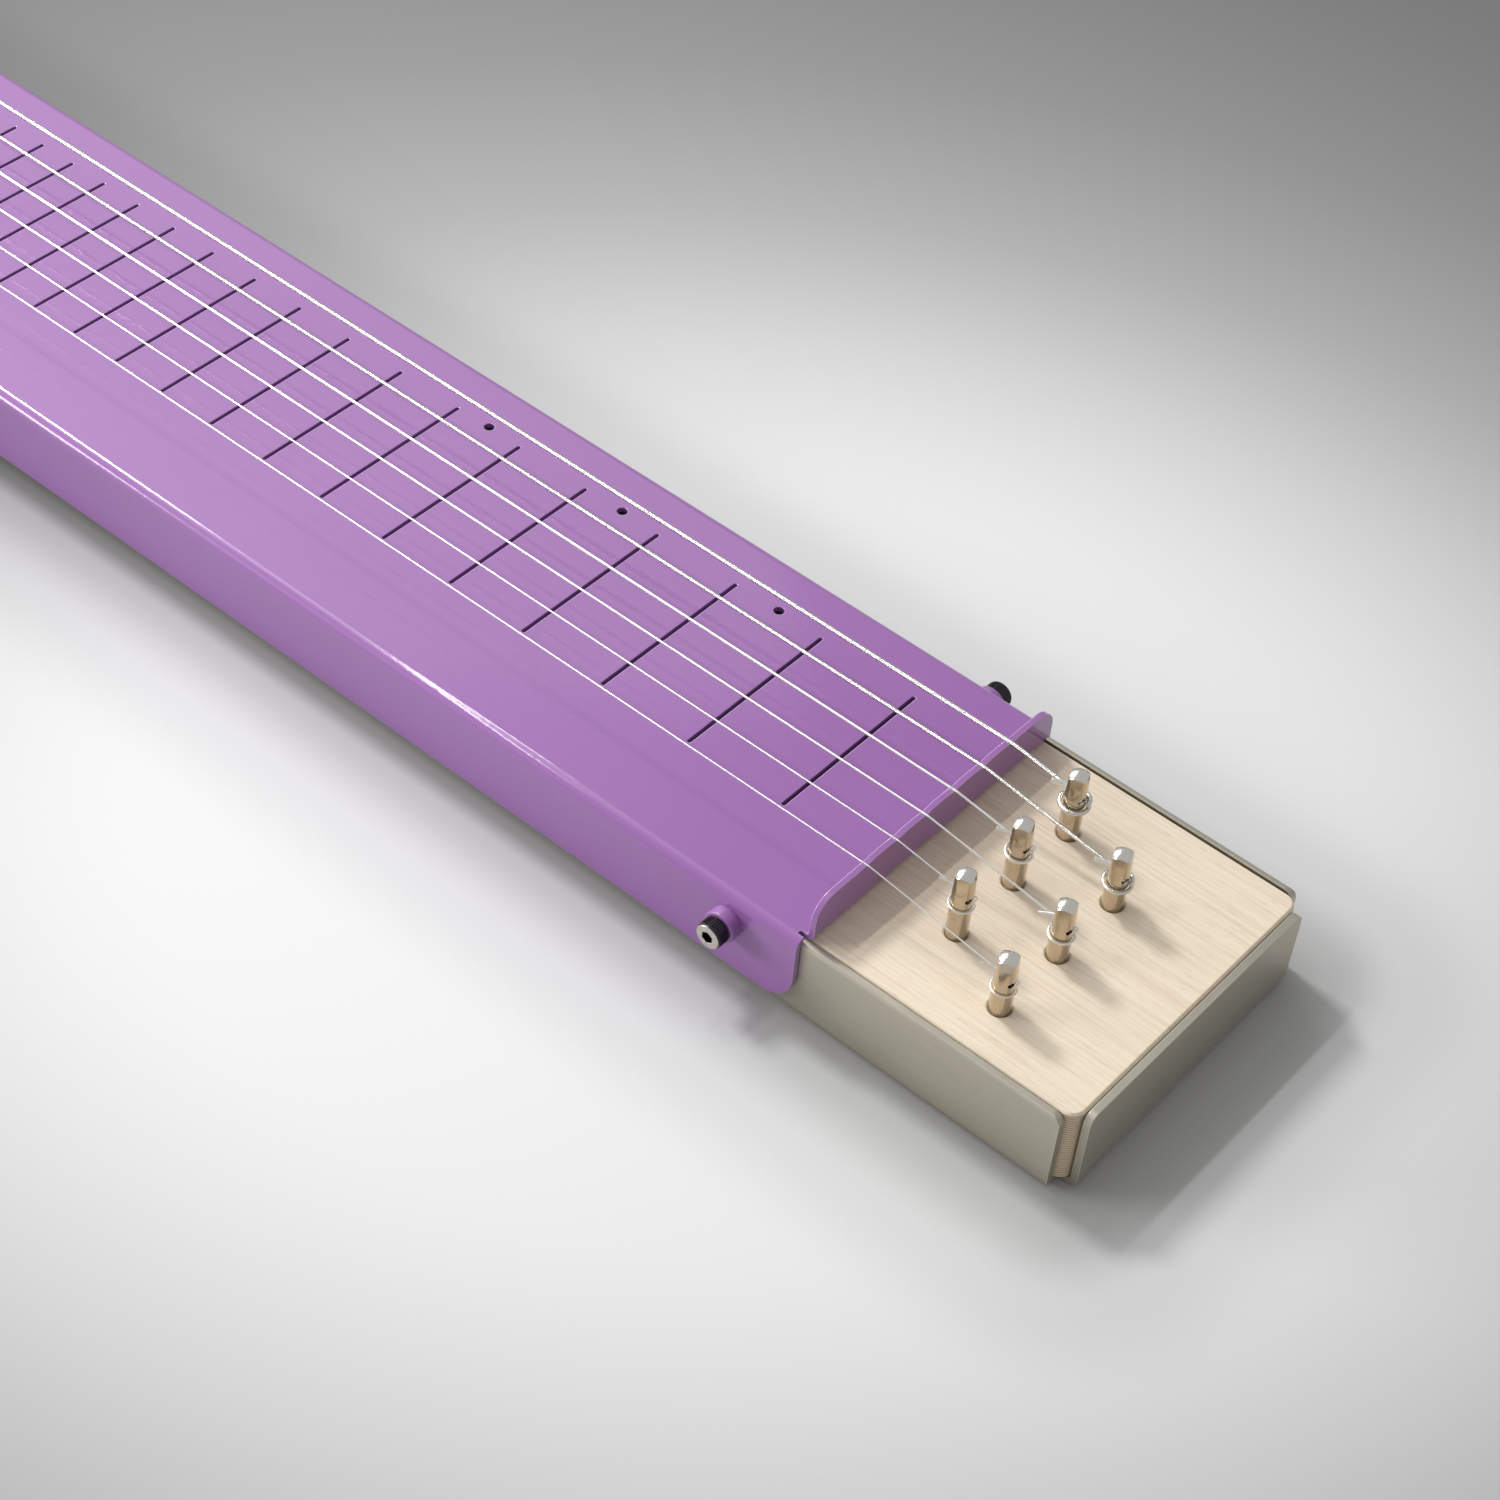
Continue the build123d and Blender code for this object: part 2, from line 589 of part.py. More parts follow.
def make_bracket():
    outside_bend = bracket_bend + bracket_sheet
    low = (upright_x - bracket_sheet - bracket_foot, -bracket_width / 2, wood_top)
    angle = block(low, (upright_x, bracket_width / 2, wood_top + bracket_height))
    angle = fillet(angle.edges().filter_by(Axis.Y).group_by(Axis.Z)[0].sort_by(Axis.X)[-1], outside_bend)
    hollow = block((low[0] - 1, -bracket_width, wood_top + bracket_sheet),
                   (upright_x - bracket_sheet, bracket_width, wood_top + bracket_height + 1))
    hollow = fillet(hollow.edges().filter_by(Axis.Y).group_by(Axis.Z)[0].sort_by(Axis.X)[-1], bracket_bend)
    angle -= hollow
    angle = fillet(angle.edges().filter_by(Axis.Z).group_by(Axis.X)[0], 3)
    angle = fillet(angle.edges().filter_by(Axis.X).group_by(Axis.Z)[-1], 3)
    for diameter, y in zip(string_diameters, string_y):
        half = diameter / 2 + anchor_slot_clearance
        behind = upright_x - 2 * bracket_sheet
        angle -= block((behind, y - half, wood_top + anchor_height),
                       (upright_x + 1, y + half, wood_top + bracket_height + 1))
        angle -= drum(half, 3 * bracket_sheet, (behind, y, wood_top + anchor_height), (1, 0, 0))
    for x, y in bracket_screw_places():
        angle -= drum(bracket_screw_diameter / 2 + screw_hole_clearance, 3 * bracket_sheet,
                      (x, y, wood_top - 1), (0, 0, 1))
    return angle


def make_ball(index):
    """A small grooved brass spool that lies across the string behind the bracket."""
    spool = drum(ball_diameter / 2, ball_width, (0, -ball_width / 2, 0), (0, 1, 0))
    groove = Rot(90, 0, 0) * Torus(ball_diameter / 2 + ball_groove, 2 * ball_groove)
    spool = spool - groove - drum(ball_hole / 2, ball_width + 2, (0, -ball_width / 2 - 1, 0), (0, 1, 0))
    x = upright_x - bracket_sheet - ball_seat_gap - ball_diameter / 2
    return Pos(x, string_y[index], wood_top + anchor_height) * spool


def pan_screw(head_diameter, head_height, diameter, length):
    """A round-headed screw standing on Z = 0, shank down, with a cross recess."""
    head = drum(head_diameter / 2, head_height, (0, 0, 0), (0, 0, 1))
    head = fillet(head.edges().sort_by(Axis.Z)[-1], head_height * 0.7)
    screw = head + drum(diameter / 2, length, (0, 0, 0), (0, 0, -1))
    cross = Box(screw_recess_share * head_diameter, screw_recess_width, head_height)
    for angle in (0, 90):
        screw -= Rot(0, 0, angle) * Pos(0, 0, head_height) * cross
    return screw


# Pickup: single coil under a metal cover, hung from the deck by two screws
def make_pickup():
    inner_x = pickup_width - 2 * cover_wall
    inner_y = pickup_length - 2 * cover_wall
    plate_low = pickup_floor + baseplate_floor_gap
    plate_top = plate_low + baseplate_sheet
    bobbin_low = plate_top + magnet_height
    bobbin_high = pickup_top - cover_wall - pole_clearance
    ear_y = pickup_ear_y + pickup_window_gap

    cover = rounded_block(pickup_x, 0, pickup_width, pickup_length, plate_top, pickup_top, pickup_corner)
    cover = fillet(cover.faces().sort_by(Axis.Z)[-1].edges(), cover_edge_round)
    cover -= rounded_block(pickup_x, 0, inner_x, inner_y, plate_top - 1, pickup_top - cover_wall,
                           pickup_corner - cover_wall)
    for y in string_y:
        cover -= drum(pole_diameter / 2 + pole_clearance, 2 * cover_hole_reach,
                      (pickup_x, y, pickup_top - cover_hole_reach), (0, 0, 1))
    save("pickup_cover", cover)

    bobbin_x = inner_x - 2 * bobbin_side_gap
    bobbin_y = inner_y - 2 * bobbin_side_gap
    core_x = pole_diameter + 2 * bobbin_wall
    core_y = string_span + core_x
    winding_low = bobbin_low + bobbin_flange
    winding_high = bobbin_high - bobbin_flange
    bobbin = rounded_block(pickup_x, 0, bobbin_x, bobbin_y, bobbin_low, winding_low, bobbin_corner)
    bobbin += rounded_block(pickup_x, 0, bobbin_x, bobbin_y, winding_high, bobbin_high, bobbin_corner)
    core = rounded_block(pickup_x, 0, core_x, core_y, bobbin_low, bobbin_high, core_x / 2 - 0.01)
    bobbin += core
    for y in string_y:
        bobbin -= drum(pole_diameter / 2, pickup_height, (pickup_x, y, bobbin_low - 1), (0, 0, 1))
    save("pickup_bobbin", bobbin)

    coil_x = bobbin_x - 2 * coil_inset
    coil = rounded_block(pickup_x, 0, coil_x, bobbin_y - 2 * coil_end_inset, winding_low, winding_high,
                         coil_x / 2 - 0.01)
    save("pickup_coil", coil - core)

    poles = []
    for y in string_y:
        pole = drum(pole_diameter / 2, pickup_top - bobbin_low, (pickup_x, y, bobbin_low), (0, 0, 1))
        poles.append(pole - Pos(pickup_x, y, pickup_top) * Box(2 * pole_diameter, pole_slot_width,
                                                               2 * pole_slot_depth))
    save("pickup_pole_pieces", *poles)
    magnet_length = string_span + 2 * magnet_margin
    magnet = rounded_block(pickup_x, 0, magnet_width, magnet_length, plate_top, bobbin_low, magnet_corner)
    save("pickup_magnet", magnet)

    plate = rounded_block(pickup_x, 0, pickup_width, pickup_length, plate_low, plate_top, pickup_corner)
    plate += rounded_block(pickup_x, 0, ear_width, 2 * ear_y + ear_width - 2, plate_low, plate_top,
                           bobbin_corner)
    screws = []
    sleeves = []
    for side in (-1, 1):
        place = (pickup_x, side * ear_y)
        plate -= drum(pickup_screw_diameter / 2 + notch_clearance, 2 * baseplate_sheet,
                      (*place, plate_low - 1), (0, 0, 1))
        length = deck_top - plate_low + pickup_screw_extra
        screws.append(Pos(*place, deck_top) * pan_screw(pickup_screw_head, pickup_screw_head_height,
                                                        pickup_screw_diameter, length))
        sleeve = drum(sleeve_diameter / 2, wood_top - plate_top, (*place, plate_top), (0, 0, 1))
        sleeves.append(sleeve - drum(pickup_screw_diameter / 2 + sleeve_clearance, pickup_height,
                                     (*place, plate_top - 1), (0, 0, 1)))
    save("pickup_baseplate", plate)
    save("pickup_screws", *screws)
    save("pickup_sleeves", *sleeves)


# Controls: a small potentiometer under the deck, its shaft, washer, nut and fluted knob
def hexagon(flats, height, bore):
    prism = extrude(RegularPolygon(flats / 2, 6, major_radius=False), height)
    cap = flats / math.sqrt(3)
    prism = prism & chamfer(extrude(Circle(cap), height).edges(), nut_chamfer)
    return prism - extrude(Circle(bore), height)


def make_control(name, y):
    case_top = wood_top - control_deck
    case = drum(pot_diameter / 2, pot_height, (0, 0, -pot_height), (0, 0, 1))
    pot = fillet(case.edges().sort_by(Axis.Z)[0], pot_edge_round)
    pot += drum(pot_bushing_diameter / 2, pot_bushing_height, (0, 0, 0), (0, 0, 1))
    for step in (-1, 0, 1):
        pot += Pos(pot_diameter / 2 + 1, step * pot_lug_pitch, -pot_height / 2) * Box(*pot_lug_size)
    pot -= drum(pot_shaft_diameter / 2 + pot_shaft_clearance, pot_shaft_height, (0, 0, -pot_shaft_seat),
                (0, 0, 1))
    foot = pot_shaft_end_gap - pot_shaft_seat
    shaft = drum(pot_shaft_diameter / 2, pot_shaft_height - foot, (0, 0, foot), (0, 0, 1))
    shaft = chamfer(shaft.edges().sort_by(Axis.Z)[-1], pot_shaft_chamfer)
    top = Pos(control_x, y, case_top)
    save(f"{name}_pot", top * pot)
    save(f"{name}_shaft", top * shaft)

    on_deck = Pos(control_x, y, wood_top)
    washer_hole = Circle(pot_bushing_diameter / 2 + washer_clearance)
    washer = extrude(Circle(pot_washer_diameter / 2) - washer_hole, pot_washer_sheet)
    save(f"{name}_washer", on_deck * washer)
    nut = hexagon(pot_nut_flats, pot_nut_height, pot_bushing_diameter / 2 + notch_clearance)
    save(f"{name}_nut", on_deck * Pos(0, 0, pot_washer_sheet) * nut)

    knob_low = pot_bushing_height - control_deck + knob_gap
    knob = extrude(Circle(knob_diameter / 2), knob_height)
    knob = fillet(knob.edges().sort_by(Axis.Z)[-1], knob_edge_round)
    for flute in range(knob_flutes):
        outside = knob_diameter / 2 + knob_flute_share * knob_flute_radius
        groove = extrude(Circle(knob_flute_radius), knob_height)
        knob -= Rot(0, 0, 360 * flute / knob_flutes) * Pos(outside, 0, knob_skirt) * groove
    shaft_above = pot_shaft_height - pot_bushing_height - knob_gap
    knob -= extrude(Circle(pot_shaft_diameter / 2 + knob_bore_clearance), shaft_above + pot_shaft_end_gap)
    save(f"{name}_knob", on_deck * Pos(0, 0, knob_low) * knob)


# Output jack in the tail wall
def make_jack():
    inside = tail_end + tray_sheet
    case = drum(jack_case_diameter / 2, jack_case_length, (inside, 0, jack_height), (1, 0, 0))
    bushing = drum(jack_bushing_diameter / 2, jack_protrusion + tray_sheet,
                   (tail_end - jack_protrusion, 0, jack_height), (1, 0, 0))
    jack = fillet(case.edges().sort_by(Axis.X)[-1], pot_edge_round) + bushing
    for angle in (0, 120, 240):
        lug = Pos(inside + jack_case_length + 2, 0, jack_lug_radius) * Box(*jack_lug_size)
        jack += Pos(0, 0, jack_height) * Rot(angle, 0, 0) * lug
    jack -= drum(jack_bore_diameter / 2, jack_bore_length, (tail_end - jack_protrusion, 0, jack_height),
                 (1, 0, 0))
    save("output_jack", jack)
    hole = jack_bushing_diameter / 2
    washer = extrude(Circle(jack_washer_diameter / 2) - Circle(hole + washer_clearance), jack_washer_sheet)
    outwards = Plane(origin=(tail_end, 0, jack_height), z_dir=(-1, 0, 0))
    save("jack_washer", outwards * washer)
    nut = hexagon(jack_nut_flats, jack_nut_height, hole + notch_clearance)
    save("jack_nut", outwards * Pos(0, 0, jack_washer_sheet) * nut)


# Side screws on their bosses, and the screws under the tray
def make_fasteners():
    screws = []
    bosses = []
    for x in side_screw_x:
        for side in (-1, 1):
            outwards = Plane(origin=(x, side * body_width / 2, side_screw_height), z_dir=(0, side, 0))
            boss = extrude(Circle(boss_diameter / 2), boss_height)
            boss = fillet(boss.edges().sort_by(Axis.Z)[-1], boss_round)
            boss -= extrude(Circle(side_screw_diameter / 2 + screw_hole_clearance), boss_height)
            bosses.append(outwards * boss)
            head = extrude(Circle(side_screw_head / 2), side_screw_head_height)
            head = fillet(head.edges().sort_by(Axis.Z)[-1], side_screw_edge_round)
            socket = Pos(0, 0, side_screw_head_height - side_screw_socket_depth) * extrude(
                RegularPolygon(side_screw_socket / 2, 6, major_radius=False), side_screw_socket_depth)
            shank = drum(side_screw_diameter / 2, side_screw_length, (0, 0, 0), (0, 0, -1))
            screws.append(outwards * Pos(0, 0, boss_height) * (head - socket + shank))
    save("side_screws", *screws)
    save("screw_bosses", *bosses)

    under = []
    half = tray_screw_head
    inside = block((-half, -half, tray_screw_recess), (half, half, tray_screw_length - tray_screw_point_gap))
    cross_length, cross_width, cross_depth = tray_screw_cross
    cross = Pos(0, 0, tray_screw_recess) * Box(cross_length, cross_width, 2 * cross_depth)
    for x, y in tray_screw_places():
        screw = (countersink(0, 0, 0) & inside) - cross - Rot(0, 0, 90) * cross
        under.append(Pos(x, y, 0) * screw)
    save("tray_screws", *under)
    save("tail_bracket_screws", *[
        Pos(x, y, wood_top + bracket_sheet) * pan_screw(bracket_screw_head, bracket_screw_head_height,
                                                        bracket_screw_diameter, bracket_screw_length - 2)
        for x, y in bracket_screw_places()])


save("tray", make_tray())
save("shell", *make_shell())
save("wood_core", make_wood())
for index, place in enumerate(pin_places):
    save(f"tuning_pin_{index + 1}", make_pin(*place))
    save(f"string_{index + 1}", *make_string(index))
    save(f"string_tail_{index + 1}", make_string_tail(index))
save("tail_bracket", make_bracket())
save("ball_ends", *[make_ball(index) for index in range(string_count)])
make_pickup()
for control, place_y in control_places.items():
    make_control(control, place_y)
make_jack()
make_fasteners()
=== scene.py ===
import math

import bmesh
import bpy
from mathutils import Matrix, Vector


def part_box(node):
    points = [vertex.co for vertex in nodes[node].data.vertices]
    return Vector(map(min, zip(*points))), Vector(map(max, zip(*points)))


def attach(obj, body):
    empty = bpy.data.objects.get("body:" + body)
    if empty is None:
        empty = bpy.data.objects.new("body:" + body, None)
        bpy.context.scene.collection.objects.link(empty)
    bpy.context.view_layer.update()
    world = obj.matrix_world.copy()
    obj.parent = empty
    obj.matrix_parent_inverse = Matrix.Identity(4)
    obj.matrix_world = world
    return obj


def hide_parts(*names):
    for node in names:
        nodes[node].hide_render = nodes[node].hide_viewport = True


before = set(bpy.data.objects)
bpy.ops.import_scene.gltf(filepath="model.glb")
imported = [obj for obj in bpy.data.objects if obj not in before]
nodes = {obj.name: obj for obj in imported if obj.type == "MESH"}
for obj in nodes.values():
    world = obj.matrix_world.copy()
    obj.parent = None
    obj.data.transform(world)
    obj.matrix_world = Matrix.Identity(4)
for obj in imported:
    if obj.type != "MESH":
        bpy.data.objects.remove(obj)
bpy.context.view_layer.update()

# Camera: it stands beyond the head on the treble side and looks down along the deck at about 45 degrees,
# so the tuning pins are near and the strings run away to the upper left. Metres and degrees.
shell_low, shell_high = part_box("shell")
tray_low, tray_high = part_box("tray")
nut_x = shell_high.x
wood_top = tray_high.z
camera_from_nut = Vector((0.2797, -0.4639, 0.5717))
camera_turn = math.radians(36.02)
camera_tilt = math.radians(45.44)
camera_roll = math.radians(6.05)
half_frame_over_focal_length = 750 / 3262.9

forward = Vector((-math.sin(camera_turn) * math.cos(camera_tilt),
                  math.cos(camera_turn) * math.cos(camera_tilt), -math.sin(camera_tilt)))
level = Vector((math.cos(camera_turn), math.sin(camera_turn), 0))
upright = level.cross(forward)
right = level * math.cos(camera_roll) + upright * math.sin(camera_roll)
upwards = upright * math.cos(camera_roll) - level * math.sin(camera_roll)
camera = bpy.data.objects.new("camera", bpy.data.cameras.new("camera"))
camera.data.sensor_fit = "HORIZONTAL"
camera.data.angle = 2 * math.atan(half_frame_over_focal_length)
camera.data.clip_start = 0.01
camera.matrix_world = Matrix.Translation(Vector((nut_x, 0, wood_top)) + camera_from_nut) @ Matrix(
    (right, upwards, -forward)).transposed().to_4x4()
bpy.context.scene.collection.objects.link(camera)
bpy.context.scene.camera = camera


# Floor: one pale seamless sheet, matt, with a painted pool of light, lightest around the instrument and falling off
# to grey away from it, and a soft painted contact shadow round the tray's foot. Both are painted into its colour,
# so they stay as they are under any light.
def new_material(name):
    material = bpy.data.materials.new(name)
    material.use_nodes = True
    tree = material.node_tree
    return material, tree, tree.nodes["Principled BSDF"]


def add(tree, kind, settings=(), **inputs):
    """A node with its settings and input values. Underscores in an input's name stand for spaces."""
    node = tree.nodes.new(kind)
    for name, value in dict(settings).items():
        setattr(node, name, value)
    for name, value in inputs.items():
        socket = node.inputs[name.replace("_", " ")] if not name.startswith("n") else node.inputs[int(name[1:])]
        if isinstance(value, bpy.types.NodeSocket):
            tree.links.new(value, socket)
        else:
            socket.default_value = value
    return node


def ramp(tree, factor, *stops):
    """A colour ramp. Each stop is a place and a colour, or a place and one grey value."""
    node = tree.nodes.new("ShaderNodeValToRGB")
    tree.links.new(factor, node.inputs["Fac"])
    elements = node.color_ramp.elements
    while len(elements) < len(stops):
        elements.new(0.5)
    for element, (place, colour) in zip(elements, stops):
        element.position = place
        element.color = (*colour, 1) if isinstance(colour, tuple) else (colour, colour, colour, 1)
    return node.outputs["Color"]


def mapped(tree, scale=(1, 1, 1), location=(0, 0, 0), rotation=(0, 0, 0)):
    """Object coordinates in metres, moved, turned and scaled."""
    coordinates = tree.nodes.new("ShaderNodeTexCoord").outputs["Object"]
    return add(tree, "ShaderNodeMapping", Vector=coordinates, Scale=scale, Location=location,
               Rotation=rotation).outputs["Vector"]


floor_size = 6.0
pool_centre = (0.262, -0.008, 0)
pool_width = 1.2
mesh = bpy.data.meshes.new("floor")
half = floor_size / 2
mesh.from_pydata([(x, y, -0.0001) for x, y in ((-half, -half), (half, -half), (half, half), (-half, half))],
                 [], [(0, 1, 2, 3)])
floor = bpy.data.objects.new("floor", mesh)
bpy.context.scene.collection.objects.link(floor)
floor_paint, tree, surface = new_material("floor_paint")
centred = add(tree, "ShaderNodeVectorMath", {"operation": "SUBTRACT"},
              n0=mapped(tree), n1=pool_centre).outputs[0]
turned = add(tree, "ShaderNodeMapping", Vector=centred, Rotation=(0, 0, -camera_turn)).outputs["Vector"]
stretched = add(tree, "ShaderNodeVectorMath", {"operation": "DIVIDE"}, n0=turned,
                n1=(pool_width, 1, 1)).outputs[0]
reach = add(tree, "ShaderNodeVectorMath", {"operation": "LENGTH"}, n0=stretched).outputs["Value"]
surface.inputs["Roughness"].default_value = 0.55
surface.inputs["Specular IOR Level"].default_value = 0.25
# Painted pool of light: the floor colour is lighter near the instrument and greyer away from it.
painted_light_pool = ramp(tree, reach, (0.0, 0.79), (0.13, 0.80), (0.20, 0.56), (0.26, 0.36), (0.34, 0.24), (0.46, 0.15))
painted_light_pool.node.color_ramp.interpolation = "B_SPLINE"
# Painted contact shadow: the floor colour is darker close round the tray's foot.
foot_middle = tuple((tray_low + tray_high) / 2)
foot_half = tuple((tray_high - tray_low) / 2)
away = add(tree, "ShaderNodeVectorMath", {"operation": "ABSOLUTE"},
           n0=mapped(tree, location=(-foot_middle[0], -foot_middle[1], 0))).outputs[0]
outside = add(tree, "ShaderNodeVectorMath", {"operation": "MAXIMUM"}, n1=(0, 0, 0),
              n0=add(tree, "ShaderNodeVectorMath", {"operation": "SUBTRACT"}, n0=away,
                     n1=(foot_half[0], foot_half[1], 1)).outputs[0]).outputs[0]
gap = add(tree, "ShaderNodeVectorMath", {"operation": "LENGTH"}, n0=outside).outputs["Value"]
painted_contact_shadow = ramp(tree, gap, (0.0, 0.56), (0.010, 0.64), (0.028, 0.87), (0.055, 1.0))
painted_contact_shadow.node.color_ramp.interpolation = "EASE"
tree.links.new(add(tree, "ShaderNodeMix", {"data_type": "RGBA", "blend_type": "MULTIPLY"}, n0=1.0, n6=painted_light_pool,
                   n7=painted_contact_shadow).outputs[2], surface.inputs["Base Color"])
mesh.materials.append(floor_paint)

# Lights: one wide soft light behind the bass side, which gives the deck its pale sheen, one overhead for the
# bright line on the long fold, and a weak one from the front.
world = bpy.data.worlds.new("studio")
world.use_nodes = True
world.node_tree.nodes["Background"].inputs["Color"].default_value = (1, 1, 1, 1)
world.node_tree.nodes["Background"].inputs["Strength"].default_value = 0.44
bpy.context.scene.world = world
bpy.context.scene.view_settings.view_transform = "Standard"


def soft_light(name, place, target, width, height, watts):
    lamp = bpy.data.lights.new(name, "AREA")
    lamp.shape = "RECTANGLE"
    lamp.size = width
    lamp.size_y = height
    lamp.energy = watts
    light = bpy.data.objects.new(name, lamp)
    light.location = place
    light.rotation_euler = (Vector(target) - Vector(place)).to_track_quat("-Z", "Y").to_euler()
    bpy.context.scene.collection.objects.link(light)


soft_light("key_softbox", (-1.10, 0.20, 1.45), (0.1, 0, 0), 0.30, 0.30, 20)
soft_light("top_strip", (-0.60, -0.05, 1.40), (0.0, -0.05, 0), 1.6, 0.05, 7)
soft_light("sheen_softbox", (-1.15, 1.10, 1.20), (-0.2, 0, 0), 1.0, 0.8, 1.8)
soft_light("front_softbox", (-1.3, -1.1, 0.45), (-0.2, 0, 0), 0.9, 0.5, 21)


# Every machined or folded part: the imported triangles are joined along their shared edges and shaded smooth
# over round surfaces, with edges sharper than this angle left crisp.
crisp_angle = math.radians(28)
smoothing = bpy.data.node_groups.new("smooth_round_surfaces", "GeometryNodeTree")
smoothing.interface.new_socket("Geometry", in_out="INPUT", socket_type="NodeSocketGeometry")
smoothing.interface.new_socket("Geometry", in_out="OUTPUT", socket_type="NodeSocketGeometry")
source = smoothing.nodes.new("NodeGroupInput").outputs[0]
joined = add(smoothing, "GeometryNodeMergeByDistance", Geometry=source, Distance=1e-6).outputs["Geometry"]
smooth = add(smoothing, "GeometryNodeSetShadeSmooth", {"domain": "FACE"}, Geometry=joined,
             Shade_Smooth=True).outputs["Geometry"]
angle = smoothing.nodes.new("GeometryNodeInputMeshEdgeAngle").outputs["Unsigned Angle"]
shallow = add(smoothing, "ShaderNodeMath", {"operation": "LESS_THAN"}, n0=angle, n1=crisp_angle).outputs[0]
faces = smoothing.nodes.new("GeometryNodeInputMeshEdgeNeighbors").outputs["Face Count"]
paired = add(smoothing, "ShaderNodeMath", {"operation": "LESS_THAN"}, n0=faces, n1=2.5).outputs[0]
gentle = add(smoothing, "ShaderNodeMath", {"operation": "MULTIPLY"}, n0=shallow, n1=paired).outputs[0]
edges = add(smoothing, "GeometryNodeSetShadeSmooth", {"domain": "EDGE"}, Geometry=smooth,
            Shade_Smooth=gentle).outputs["Geometry"]
smoothing.links.new(edges, smoothing.nodes.new("NodeGroupOutput").inputs[0])


def finish(material, *names):
    """Gives CAD nodes their material and smooth shading."""
    for name in names:
        piece = nodes[name]
        piece.data.materials.clear()
        piece.data.materials.append(material)
        piece.modifiers.new("smooth", "NODES").node_group = smoothing


def painted_edge_highlight(tree, radius):
    """Mask for a painted highlight: 1 along outside edges that are rounded over this radius, else 0."""
    rounded = add(tree, "ShaderNodeBevel", {"samples": 6}, Radius=radius).outputs["Normal"]
    flat = tree.nodes.new("ShaderNodeNewGeometry").outputs["Normal"]
    agreement = add(tree, "ShaderNodeVectorMath", {"operation": "DOT_PRODUCT"}, n0=rounded, n1=flat
                    ).outputs["Value"]
    return ramp(tree, agreement, (0.86, 0.8), (0.985, 0.0))


def numbered(name):
    return [f"{name}_{number}" for number in range(1, 7)]


# Shell: 1.6 mm steel sheet, laser cut with its fret slots and marker holes, folded along both sides and
# turned up at nut and bridge, then powder coated in a gloss lilac purple with a faint orange peel.
powder_coat, tree, surface = new_material("powder_coat")
cloud = add(tree, "ShaderNodeTexNoise", Vector=mapped(tree), Scale=14, Detail=2).outputs["Fac"]
coat_colour = ramp(tree, cloud, (0.3, (0.286, 0.112, 0.362)), (0.7, (0.306, 0.124, 0.386)))
# Painted highlight: the rounded edges of the powder coat are painted a paler lilac.
tree.links.new(add(tree, "ShaderNodeMix", {"data_type": "RGBA"}, n0=painted_edge_highlight(tree, 0.0005), n6=coat_colour,
                   n7=(0.64, 0.46, 0.74, 1)).outputs[2], surface.inputs["Base Color"])
surface.inputs["Roughness"].default_value = 0.42
surface.inputs["Specular IOR Level"].default_value = 0.4
surface.inputs["Coat Weight"].default_value = 0.9
surface.inputs["Coat Roughness"].default_value = 0.08
soft_edge = add(tree, "ShaderNodeBevel", {"samples": 6}, Radius=0.0004).outputs["Normal"]
peel = add(tree, "ShaderNodeTexNoise", Vector=mapped(tree), Scale=700, Detail=2).outputs["Fac"]
peel_bump = add(tree, "ShaderNodeBump", Strength=0.035, Distance=0.0004, Height=peel,
                Normal=soft_edge).outputs["Normal"]
tree.links.new(peel_bump, surface.inputs["Normal"])
tree.links.new(peel_bump, surface.inputs["Coat Normal"])
finish(powder_coat, "shell", "screw_bosses")

# Tray: 2 mm aluminium, cut as a cross and folded up round the wood, its corners open. It is finely brushed
# along the walls and anodised in a warm champagne grey.
champagne, tree, surface = new_material("champagne_anodising")
brushed = add(tree, "ShaderNodeTexNoise", Vector=mapped(tree, scale=(25, 25, 1800)), Scale=1, Detail=6,
              Roughness=0.65).outputs["Fac"]
fine = add(tree, "ShaderNodeTexNoise", Vector=mapped(tree), Scale=1500, Detail=2).outputs["Fac"]
anodised = ramp(tree, brushed, (0.3, (0.500, 0.468, 0.385)), (0.7, (0.560, 0.525, 0.435)))
# Painted highlight: the rounded edges of the tray are painted a paler champagne.
tree.links.new(add(tree, "ShaderNodeMix", {"data_type": "RGBA"}, n0=painted_edge_highlight(tree, 0.0005), n6=anodised,
                   n7=(0.78, 0.76, 0.68, 1)).outputs[2], surface.inputs["Base Color"])
surface.inputs["Metallic"].default_value = 0.85
tree.links.new(add(tree, "ShaderNodeMapRange", Value=brushed, n1=0.3, n2=0.7, n3=0.36, n4=0.46).outputs[0],
               surface.inputs["Roughness"])
tray_edge = add(tree, "ShaderNodeBevel", {"samples": 6}, Radius=0.0003).outputs["Normal"]
grain = add(tree, "ShaderNodeBump", Strength=0.05, Distance=0.0002, Height=brushed,
            Normal=tray_edge).outputs["Normal"]
tree.links.new(add(tree, "ShaderNodeBump", Strength=0.04, Distance=0.0002, Height=fine,
                   Normal=grain).outputs["Normal"], surface.inputs["Normal"])
finish(champagne, "tray")

